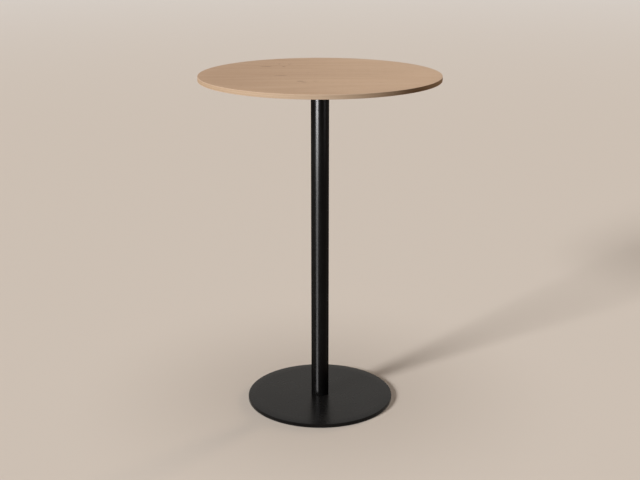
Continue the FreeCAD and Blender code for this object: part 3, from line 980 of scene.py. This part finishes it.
@dataclass
class Tabletop:
    """Round top: face veneer, plywood core, backing veneer and threaded inserts."""

    radius: float = 330 * MM
    face: float = 950 * MM
    veneer: float = 0.8 * MM
    core: float = 10.4 * MM
    arris: float = 0.6 * MM
    plies: int = 3
    seam: float = 0.07 * MM
    insert_hole: float = 5.1 * MM
    hole_top: float = 947.1 * MM
    insert_radius: float = 5.0 * MM
    insert_bore: float = 3.1 * MM
    insert_mouth: float = 3.7 * MM
    insert_low: float = 938.2 * MM
    insert_high: float = 947.0 * MM
    insert_edge: float = 0.4 * MM
    bore_share: float = -0.5
    insert_columns: int = 48
    segments: int = 480
    face_rings: int = 7
    holes: HoleCircle = HoleCircle(6, 128 * MM, 100 * MM, 156 * MM, 480)

    def build(self) -> None:
        """Make the three layers and the inserts."""
        self.build_face()
        self.build_core()
        self.build_backing()
        self.build_inserts()

    def build_face(self) -> None:
        """Disc with a softly rounded upper rim."""
        low = self.face - self.veneer
        flat = [(radius, self.face, 0.0) for radius in spaced(self.radius, 0.0, self.face_rings)]
        rim = [(0.0, low, 0.0), (self.radius, low, 0.0), (self.radius, self.face, self.arris)]
        profile = eased([*rim, *flat, (0.0, self.face, 0.0)])
        add_piece("face_sheet", "face_veneer", lathe(self.segments, profile), FACE)

    def build_core(self) -> None:
        """Disc with fine seams between its plies and blind holes for the inserts."""
        high = self.face - self.veneer
        low = high - self.core
        rim = [Ring(self.holes.outer, low), Ring(self.radius, low)]
        for joint in spaced(low, high, self.plies - 1):
            rim.append(Ring(self.radius, joint - self.seam))
            rim.append(Ring(self.radius - self.seam, joint))
            rim.append(Ring(self.radius, joint + self.seam))
        rim.extend(flat_end(self.radius, high))
        middle = [Ring(0.0, low), Ring(self.holes.inner, low)]
        rows = [
            CellRow(0, 0, self.hole_top),
            CellRow(0, self.insert_hole, self.hole_top),
            *flat_rows(self.insert_hole, low, OUTWARD),
        ]
        patches = [*lathe(self.segments, rim, middle), *self.holes.patches(rows)]
        add_piece("plywood_core", "tabletop_core", patches, RIM)

    def build_backing(self) -> None:
        """Pierced disc with a softly rounded lower rim."""
        low = self.face - self.veneer * 2 - self.core
        high = low + self.veneer
        outer, radius = self.holes.outer, self.radius
        rim = eased([(outer, low, 0.0), (radius, low, self.arris), (radius, high, 0.0), (outer, high, 0.0)])
        middle = [Ring(0.0, low), Ring(self.holes.inner, low)]
        upper = flat_end(self.holes.inner, high)
        rows = [*flat_rows(self.insert_hole, high, INWARD), *flat_rows(self.insert_hole, low, OUTWARD)]
        patches = [*lathe(self.segments, rim, middle, upper), *self.holes.patches(rows)]
        add_piece("backing_sheet", "backing_veneer", patches, BACKING)

    def build_inserts(self) -> None:
        """Sleeves with a coarse outer thread and a metric thread in the bore."""
        edge, low, high = self.insert_edge, self.insert_low, self.insert_high
        mouth, end = Ring(self.insert_mouth, low), Ring(self.insert_bore, high)
        rim = self.insert_radius - edge
        coarse = WOOD_THREAD.rings(self.insert_radius, low + edge, high - edge)
        outside = [mouth, Ring(rim, low), *coarse, Ring(rim, high), end]
        throat = low + self.insert_mouth - self.insert_bore
        inside = [end, *METRIC_6.rings(self.insert_bore, high - edge, throat, self.bore_share), mouth]
        patches = self.holes.copies(outside, self.insert_columns, WOOD_THREAD)
        patches += self.holes.copies(inside, self.insert_columns, METRIC_6)
        add_piece("insert_set", "threaded_inserts", patches, BRASS)


@dataclass
class MountingSet:
    """Round plate under the top with its screws, washers and hub."""

    radius: float = 150 * MM
    low: float = 933 * MM
    high: float = 938 * MM
    chamfer: float = 0.8 * MM
    hole: float = 3.5 * MM
    sink: float = 6.1 * MM
    sink_low: float = 937.5 * MM
    neck: float = 3.1 * MM
    neck_high: float = 934.5 * MM
    shank: float = 3.0 * MM
    head: float = 5.25 * MM
    head_low: float = 928.1 * MM
    head_high: float = 931.4 * MM
    head_round: float = 2.475 * MM
    flats: float = 4.0 * MM
    socket: float = 2.0 * MM
    tip: float = 945.4 * MM
    tip_edge: float = 0.6 * MM
    washer: float = 6.0 * MM
    washer_bore: float = 3.2 * MM
    washer_edge: float = 0.25 * MM
    hub_head: float = 6.0 * MM
    hub_head_top: float = 937.8 * MM
    hub_tip: float = 921.8 * MM
    columns: int = 36
    segments: int = 240
    screws: HoleCircle = HoleCircle(6, 128 * MM, 108 * MM, 144 * MM, 240)
    hub: HoleCircle = HoleCircle(4, 14.198 * MM, 5 * MM, 24 * MM, 240)

    def build(self) -> None:
        """Make the plate, screws and washers, and dress the hub."""
        self.build_plate()
        self.build_top_screws()
        self.build_washers()
        self.build_hub_screws()
        dress("top_hub", STEEL)

    def build_plate(self) -> None:
        """Disc with broken edges, six plain holes and four countersunk ones."""
        low, high, edge = self.low, self.high, self.chamfer
        rim = [
            Ring(self.screws.outer, low),
            Ring(self.radius - edge, low),
            Ring(self.radius, low + edge),
            Ring(self.radius, high - edge),
            Ring(self.radius - edge, high),
            Ring(self.screws.outer, high),
        ]
        web = [Ring(self.screws.inner, high), Ring(self.hub.outer, high)]
        under = [Ring(self.hub.outer, low), Ring(self.screws.inner, low)]
        middle = flat_end(self.hub.inner, high)
        centre = [Ring(0.0, low), Ring(self.hub.inner, low)]
        plain = [*flat_rows(self.hole, high, INWARD), *flat_rows(self.hole, low, OUTWARD)]
        sunk = [
            *flat_rows(self.sink, high, INWARD),
            CellRow(0, self.sink, self.sink_low),
            CellRow(0, self.neck, self.neck_high),
            *flat_rows(self.neck, low, OUTWARD),
        ]
        lathes = lathe(self.segments, rim, web, under, middle, centre)
        patches = [*lathes, *self.screws.patches(plain), *self.hub.patches(sunk)]
        add_piece("mounting_disc", "mounting_plate", patches, COAT)

    def build_top_screws(self) -> None:
        """Six button-head screws with hexagon sockets and metric threads."""
        dome = [
            (self.head - self.head_round, self.head_low, 0.0),
            (self.head, self.head_low, self.head_round),
            (self.head, self.head_high, 0.0),
        ]
        rings = [
            *hex_socket(self.flats, self.head_low + self.socket, self.head_low),
            *eased(dome)[1:],
            *METRIC_6.rings(self.shank, self.head_high, self.tip - self.tip_edge),
            *flat_end(self.shank - self.tip_edge, self.tip),
        ]
        patches = self.screws.copies(rings, self.columns, METRIC_6)
        add_piece("top_screw_set", "top_screws", patches, ZINC)

    def build_washers(self) -> None:
        """Six flat washers with rolled outer edges."""
        rings = washer_rings(self.washer_bore, self.washer, self.head_high, self.low, self.washer_edge)
        patches = self.screws.copies(rings, self.columns, loop=True)
        add_piece("washer_set", "screw_washers", patches, ZINC)

    def build_hub_screws(self) -> None:
        """Four countersunk screws with hexagon sockets and metric threads."""
        rings = [
            *reversed(flat_end(self.shank - self.tip_edge, self.hub_tip)),
            *METRIC_6.rings(self.shank, self.hub_tip + self.tip_edge, self.neck_high),
            Ring(self.hub_head, self.sink_low),
            Ring(self.hub_head, self.hub_head_top),
            *reversed(hex_socket(self.flats, self.hub_head_top - self.socket, self.hub_head_top)),
        ]
        patches = self.hub.copies(rings, self.columns, METRIC_6)
        add_piece("hub_screw_set", "hub_screws", patches, ZINC)


@dataclass
class Column:
    """Tube, and the tie rod inside it with its washer and lock nut."""

    radius: float = 25 * MM
    wall: float = 2 * MM
    low: float = 11.2 * MM
    high: float = 933 * MM
    edge: float = 0.3 * MM
    lengths: int = 23
    segments: int = 160
    rod: float = 5.0 * MM
    rod_low: float = 15.2 * MM
    rod_high: float = 930 * MM
    rod_edge: float = 0.8 * MM
    lower_thread: float = 60 * MM
    upper_thread: float = 878 * MM
    rod_bore: float = 5.1 * MM
    washer: float = 10 * MM
    washer_low: float = 901 * MM
    washer_high: float = 903 * MM
    washer_edge: float = 0.3 * MM
    nut_flats: float = 16 * MM
    nut_low: float = 893 * MM
    nut_edge: float = 0.7 * MM
    bore_edge: float = 0.5 * MM
    bore_share: float = -0.4
    columns: int = 48

    def build(self) -> bpy.types.Object:
        """Make every piece.

        Returns:
            The tube.
        """
        self.build_rod()
        self.build_washer()
        self.build_nut()
        return self.build_tube()

    def build_tube(self) -> bpy.types.Object:
        """Plain round tube with broken outer edges.

        Returns:
            The tube.
        """
        bore = self.radius - self.wall
        heights = spaced(self.low, self.high, self.lengths)
        half = self.lengths // 2
        corners = [
            *((self.radius, height, 0.0) for height in heights[half:]),
            (self.radius, self.high, self.edge),
            (bore, self.high, 0.0),
            *((bore, height, 0.0) for height in reversed(heights)),
            (bore, self.low, 0.0),
            (self.radius, self.low, self.edge),
            *((self.radius, height, 0.0) for height in heights[: half + 1]),
        ]
        patches = [turned(eased(corners)[:-1], self.segments, loop=True)]
        # The tube wears the darker copy of the coat, which is painted shade.
        return add_piece("column_pipe", "column_tube", patches, SHADED_TUBE_COAT)

    def build_rod(self) -> None:
        """Round rod with a metric thread at both ends."""
        end = self.rod - self.rod_edge
        rings = [
            *reversed(flat_end(end, self.rod_low)),
            *METRIC_10.rings(self.rod, self.rod_low + self.rod_edge, self.lower_thread),
            *METRIC_10.rings(self.rod, self.upper_thread, self.rod_high - self.rod_edge),
            *flat_end(end, self.rod_high),
        ]
        patches = [turned(rings, self.columns, thread=METRIC_10)]
        add_piece("threaded_tie_rod", "tie_rod", patches, ZINC)

    def build_washer(self) -> None:
        """Flat washer with rolled outer edges."""
        low, high = self.washer_low, self.washer_high
        rings = washer_rings(self.rod_bore, self.washer, low, high, self.washer_edge)
        patches = [turned(rings, self.columns, loop=True)]
        add_piece("lock_washer", "rod_lock_washer", patches, ZINC)

    def build_nut(self) -> None:
        """Hexagon nut with chamfered corners and a threaded bore."""
        half, edge, lead = self.nut_flats / 2, self.nut_edge, self.bore_edge
        low, high = self.nut_low, self.washer_low
        rings = [
            Ring(self.rod_bore + lead, low),
            Ring(half - edge / 2, low),
            Ring(half, low + edge, Outline.HEXAGON),
            Ring(half, high - edge, Outline.HEXAGON),
            Ring(half - edge / 2, high),
            Ring(self.rod_bore + lead, high),
            *METRIC_10.rings(self.rod_bore, high - lead, low + lead, self.bore_share),
        ]
        patches = [turned(rings, self.columns, thread=METRIC_10, loop=True)]
        add_piece("lock_nut", "rod_lock_nut", patches, ZINC)


@dataclass
class FootPlate:
    """Flat round foot, the spigot on it and the sleeve nut under it."""

    radius: float = 210 * MM
    low: float = 1.2 * MM
    high: float = 11.2 * MM
    upper_edge: float = 2 * MM
    lower_edge: float = 0.6 * MM
    head_hole: float = 13.1 * MM
    head_top: float = 2.0 * MM
    sleeve_hole: float = 7.1 * MM
    cone_top: float = 8.0 * MM
    pocket: float = 15 * MM
    pocket_top: float = 4.8 * MM
    thread_hole: float = 4.06 * MM
    thread_top: float = 9.8 * MM
    nut_head: float = 13.0 * MM
    nut_low: float = 1.4 * MM
    nut_edge: float = 0.15 * MM
    nut_barrel: float = 7.0 * MM
    nut_high: float = 33.2 * MM
    nut_flats: float = 8.0 * MM
    socket_top: float = 7.4 * MM
    nut_bore: float = 5.1 * MM
    bore_low: float = 9.4 * MM
    bore_edge: float = 0.5 * MM
    bore_share: float = -0.4
    columns: int = 48
    segments: int = 320
    upper_rings: int = 6
    lower_rings: int = 3
    holes: HoleCircle = HoleCircle(4, 180 * MM, 120 * MM, 200 * MM, 320, 16)

    def build(self) -> None:
        """Make the plate and nut, and dress the spigot."""
        self.build_plate()
        self.build_sleeve_nut()
        dress("base_spigot", STEEL)

    def build_plate(self) -> None:
        """Plate with a rounded upper rim, a countersunk middle and four stepped pockets."""
        low, high, inner = self.low, self.high, self.holes.inner
        corners = [
            (self.holes.outer, low, 0.0),
            (self.radius - self.lower_edge, low, 0.0),
            (self.radius, low + self.lower_edge, 0.0),
            (self.radius, high, self.upper_edge),
            *((radius, high, 0.0) for radius in spaced(self.radius, self.sleeve_hole, self.upper_rings)),
            (self.sleeve_hole, high, 0.0),
            (self.sleeve_hole, self.cone_top, 0.0),
            (self.head_hole, self.head_top, 0.0),
            (self.head_hole, low, 0.0),
            *((radius, low, 0.0) for radius in spaced(self.head_hole, inner, self.lower_rings)),
            (inner, low, 0.0),
        ]
        rows = [
            CellRow(0, 0, self.thread_top),
            CellRow(0, self.thread_hole, self.thread_top),
            CellRow(0, self.thread_hole, self.pocket_top),
            CellRow(0, self.pocket, self.pocket_top),
            *flat_rows(self.pocket, low, OUTWARD),
        ]
        patches = [turned(eased(corners), self.segments), *self.holes.patches(rows)]
        add_piece("foot_disc", "base_plate", patches, COAT)

    def build_sleeve_nut(self) -> None:
        """Countersunk barrel nut with a hexagon socket below and a threaded bore above."""
        edge = self.bore_edge
        rings = [
            *hex_socket(self.nut_flats, self.socket_top, self.nut_low),
            Ring(self.nut_head - self.nut_edge, self.nut_low),
            Ring(self.nut_head, self.nut_low + self.nut_edge),
            Ring(self.nut_head, self.head_top),
            Ring(self.nut_barrel, self.cone_top),
            Ring(self.nut_barrel, self.nut_high - edge),
            Ring(self.nut_barrel - edge, self.nut_high),
            Ring(self.nut_bore + edge, self.nut_high),
            *METRIC_10.rings(self.nut_bore, self.nut_high - edge, self.bore_low, self.bore_share),
            Ring(0.0, self.bore_low),
        ]
        patches = [turned(rings, self.columns, thread=METRIC_10)]
        add_piece("barrel_nut", "sleeve_nut", patches, ZINC)


@dataclass
class LevellingFoot:
    """Snap-on pad and threaded stud of one levelling foot."""

    number: int
    spot: Spot
    pad: float = 14 * MM
    pad_high: float = 4.6 * MM
    pad_edge: float = 0.5 * MM
    access: float = 3.5 * MM
    lip: float = 6.5 * MM
    groove: float = 8.2 * MM
    groove_low: float = 1.6 * MM
    groove_high: float = 3.2 * MM
    grip: float = 0.3 * MM
    grips: int = 4
    flange: float = 8.0 * MM
    flange_low: float = 1.8 * MM
    flange_high: float = 3.0 * MM
    flange_edge: float = 0.2 * MM
    shank: float = 4.0 * MM
    shank_high: float = 9.3 * MM
    shank_edge: float = 0.8 * MM
    flats: float = 4.0 * MM
    socket_top: float = 4.8 * MM
    pad_columns: int = 72
    stud_columns: int = 48

    def build(self) -> None:
        """Make the pad and the stud."""
        self.build_pad()
        self.build_stud()

    def build_pad(self) -> None:
        """Moulded pad with ring grooves on its sole and an undercut that holds the stud."""
        sole: list[Corner] = []
        for radius in spaced(self.access, self.pad, self.grips):
            sole.append((radius - self.grip * 2, 0.0, 0.0))
            sole.append((radius - self.grip, self.grip, 0.0))
            sole.append((radius + self.grip, self.grip, 0.0))
            sole.append((radius + self.grip * 2, 0.0, 0.0))
        corners = [
            (self.access, 0.0, 0.0),
            *sole,
            (self.pad, 0.0, self.pad_edge),
            (self.pad, self.pad_high, self.pad_edge),
            (self.lip, self.pad_high, 0.0),
            (self.lip, self.groove_high, 0.0),
            (self.groove, self.groove_high, 0.0),
            (self.groove, self.groove_low, 0.0),
            (self.access, self.groove_low, 0.0),
        ]
        patches = [turned(eased(corners), self.pad_columns, self.spot, loop=True)]
        number = self.number
        add_piece(f"grip_pad_{number}", f"foot_pad_{number}", patches, NYLON, f"pad_{number}")

    def build_stud(self) -> None:
        """Stud with a flange, a hexagon socket below and a metric thread."""
        edge = self.flange_edge
        rings = [
            *hex_socket(self.flats, self.socket_top, self.flange_low),
            Ring(self.flange - edge, self.flange_low),
            Ring(self.flange, self.flange_low + edge),
            Ring(self.flange, self.flange_high - edge),
            Ring(self.flange - edge, self.flange_high),
            *METRIC_8.rings(self.shank, self.flange_high, self.shank_high - self.shank_edge),
            *flat_end(self.shank - self.shank_edge, self.shank_high),
        ]
        patches = [turned(rings, self.stud_columns, self.spot, METRIC_8)]
        number = self.number
        add_piece(f"threaded_stud_{number}", f"foot_stud_{number}", patches, ZINC, f"stud_{number}")


# Studio


@dataclass(frozen=True)
class Lamp(ABC):
    """A lamp at a bearing from the table.

    The azimuth is in degrees from the viewer's side round to the right, and the elevation
    in degrees above the floor.
    """

    name: str
    azimuth: float
    elevation: float
    level: float
    colour: Colour

    def build(self, column: bpy.types.Object) -> None:
        """Add the lamp, hidden from the camera itself.

        Args:
            column: The tube, which some lamps shine on alone.
        """
        side, rise = math.radians(self.azimuth), math.radians(self.elevation)
        across, up = math.cos(rise), math.sin(rise)
        light = self.light()
        light.color = self.colour
        lamp = put_in_scene(self.name, light)
        lamp.rotation_euler = (math.pi / 2 - rise, 0.0, side)
        lamp.visible_camera = False
        self.settle(lamp, np.array([math.sin(side) * across, -math.cos(side) * across, up]), column)
        LOG.info("lit %s", self.name)

    @abstractmethod
    def light(self) -> bpy.types.Light:
        """The lamp's own light."""

    @abstractmethod
    def settle(self, lamp: bpy.types.Object, towards: Array, column: bpy.types.Object) -> None:
        """Set the lamp's place and what it shows on."""


@dataclass(frozen=True)
class FarLamp(Lamp):
    """Even light from far away, as soft as the angle that it spreads over.

    A level of 1 shows a colour that faces it as it is written.
    """

    spread: float = 20.0

    def light(self) -> bpy.types.Light:
        """Light with parallel middle rays.

        Returns:
            The light.
        """
        light = bpy.data.lights.new(self.name, "SUN")
        light.energy = math.pi * self.level
        light.angle = math.radians(self.spread)
        return light

    def settle(self, lamp: bpy.types.Object, towards: Array, column: bpy.types.Object) -> None:
        """Stay out of reflections, so that no flat surface burns out."""
        lamp.visible_glossy = False


@dataclass(frozen=True)
class Panel(Lamp):
    """Upright panel near the table that only shows as a sheen on the column.

    Its level is its own brightness.
    """

    distance: float = 1.4
    middle: float = 0.4
    width: float = 0.16
    height: float = 0.70

    def light(self) -> bpy.types.Light:
        """Rectangular light.

        Returns:
            The light.
        """
        light = bpy.data.lights.new(self.name, "AREA")
        light.shape = "RECTANGLE"
        light.size = self.width
        light.size_y = self.height
        light.energy = math.pi * self.level * self.width * self.height
        return light

    def settle(self, lamp: bpy.types.Object, towards: Array, column: bpy.types.Object) -> None:
        """Stand at the distance and height, unseen by matt surfaces and all other pieces.

        Args:
            lamp: The panel.
            towards: Unit vector from the table to the panel.
            column: The only piece that it lights and that can shade it.
        """
        lamp.location = towards * self.distance + np.array([0.0, 0.0, self.middle])
        lamp.visible_diffuse = False
        group = bpy.data.collections.new(self.name)
        group.objects.link(column)
        lamp.light_linking.receiver_collection = group
        lamp.light_linking.blocker_collection = group


@dataclass
class Studio:
    """Pale floor, soft lamps, plain world and the camera."""

    floor_reach: float = 120.0
    floor_level: float = -0.1 * MM
    near_floor: Colour = (0.650, 0.585, 0.522)
    far_floor: Colour = (0.725, 0.690, 0.655)
    floor_fade: Span = (3.0, 18.0)
    near_bounce: Colour = (0.50, 0.335, 0.205)
    far_bounce: Colour = (0.060, 0.036, 0.020)
    bounce_fade: Span = (0.91, 1.69)
    gap_fade: Span = (14 * MM, 11.2 * MM)
    horizon: Colour = (0.665, 0.617, 0.558)
    haze: Colour = (0.860, 0.835, 0.805)
    haze_rise: Span = (0.22, 0.60)
    dome: Colour = (0.300, 0.290, 0.280)
    dome_rise: Span = (0.66, 0.95)
    ambient: Colour = (0.060, 0.040, 0.024)
    below: Colour = (0.420, 0.405, 0.390)
    below_fall: Span = (-0.02, -0.10)
    camera_place: Corner = (0.0, -2.988, 1.398)
    camera_pitch: float = math.radians(17.05)
    lens: float = 62.2
    sensor: float = 36.0
    lamps: tuple[Lamp, ...] = (
        FarLamp("left_key", -48.0, 22.0, 1.22, (1.0, 0.995, 0.985), spread=14.0),
        FarLamp("overhead", 0.0, 88.0, 0.345, (1.0, 1.0, 1.0), spread=50.0),
        FarLamp("warm_back", 136.0, 14.0, 0.30, (1.0, 0.80, 0.62), spread=12.0),
        Panel("high_sheen", -35.5, 0.0, 74.0, (1.0, 0.985, 1.0), 1.4, 0.80, 0.62, 0.50),
        Panel("upper_sheen", -35.5, 0.0, 45.0, (1.0, 0.985, 1.0), 1.4, 0.72, 0.62, 0.66),
        Panel("column_sheen", -28.0, 0.0, 17.0, (1.0, 0.985, 1.0), 0.046, 0.4475, 0.0130, 0.915),
        Panel("side_sheen", 62.0, 0.0, 5.0, (1.0, 0.97, 0.97), 1.4, 0.80, 0.50, 0.50),
    )

    def build(self, column: bpy.types.Object) -> None:
        """Make the whole studio.

        Args:
            column: The tube that the panels shine on.
        """
        self.build_floor()
        self.build_world()
        for lamp in self.lamps:
            lamp.build(column)
        self.build_camera()
        bpy.context.scene.view_settings.view_transform = "Standard"

    @staticmethod
    def seen_rays(shader: Shader) -> Sock:
        """Rays that show the background to the camera, a gloss or a glass.

        Args:
            shader: Tree to build in.

        Returns:
            1 for such rays, 0 for others.
        """
        rays = shader.node("ShaderNodeLightPath", output="Is Camera Ray")
        seen = rays.math("MAXIMUM", rays.other("Is Glossy Ray"))
        return seen.math("MAXIMUM", rays.other("Is Transmission Ray"))

    def build_floor(self) -> None:
        """Flat pale floor that is clear from below and in the gap under the foot plate."""
        reach = self.floor_reach
        corners = [(-reach, -reach), (reach, -reach), (reach, reach), (-reach, reach)]
        mesh = bpy.data.meshes.new("studio_floor")
        mesh.from_pydata([(x, y, self.floor_level) for x, y in corners], [], [(0, 1, 2, 3)])
        material = bpy.data.materials.new("pale_floor")
        shader = Shader(material)
        away = shader.away()
        pale = shader.blend(away.step(*self.floor_fade), self.near_floor, self.far_floor)
        bounce = shader.blend(away.step(*self.bounce_fade), self.near_bounce, self.far_bounce)
        colour = shader.blend(self.seen_rays(shader), bounce, pale)
        matt = shader.node("ShaderNodeBsdfDiffuse", {"Color": colour})
        clear = shader.node("ShaderNodeBsdfTransparent")
        under = shader.node("ShaderNodeNewGeometry", output="Backfacing")
        rays = shader.node("ShaderNodeLightPath", output="Is Camera Ray")
        gap = rays.other("Ray Length").step(*self.gap_fade) * (1.0 - rays)
        shader.end(shader.mix(under.math("MAXIMUM", gap), matt, clear))
        mesh.materials.append(material)
        floor = put_in_scene("studio_floor", mesh)

    def build_world(self) -> None:
        """Pale haze between horizon and dome, with a faint even light and more from below."""
        world = bpy.data.worlds.new("studio_world")
        shader = Shader(world)
        _, _, up = shader.split(shader.node("ShaderNodeTexCoord", output="Generated"))
        shown = shader.blend(up.step(*self.haze_rise), self.horizon, self.haze)
        shown = shader.blend(up.step(*self.dome_rise), shown, self.dome)
        even = shader.blend(up.step(*self.below_fall), self.ambient, self.below)
        colour = shader.blend(self.seen_rays(shader), even, shown)
        light = shader.node("ShaderNodeBackground", {"Color": colour, "Strength": 1.0})
        shader.end(light, "ShaderNodeOutputWorld")
        bpy.context.scene.world = world

    def build_camera(self) -> None:
        """Camera at the photograph's height, pitch and angle of view."""
        data = bpy.data.cameras.new("camera")
        data.lens = self.lens
        data.sensor_width = self.sensor
        camera = put_in_scene("camera", data)
        camera.location = self.camera_place
        camera.rotation_euler = (math.pi / 2 - self.camera_pitch, 0.0, 0.0)
        bpy.context.scene.camera = camera


def main() -> None:
    """Build the table and the studio."""
    logging.basicConfig(level=logging.INFO, format="%(name)s: %(message)s")
    plate = FootPlate()
    feet = [LevellingFoot(number, spot) for number, spot in enumerate(plate.holes.spots, 1)]
    for assembly in (Tabletop(), MountingSet(), plate, *feet):
        assembly.build()
    Studio().build(Column().build())


if __name__ == "__main__":
    main()
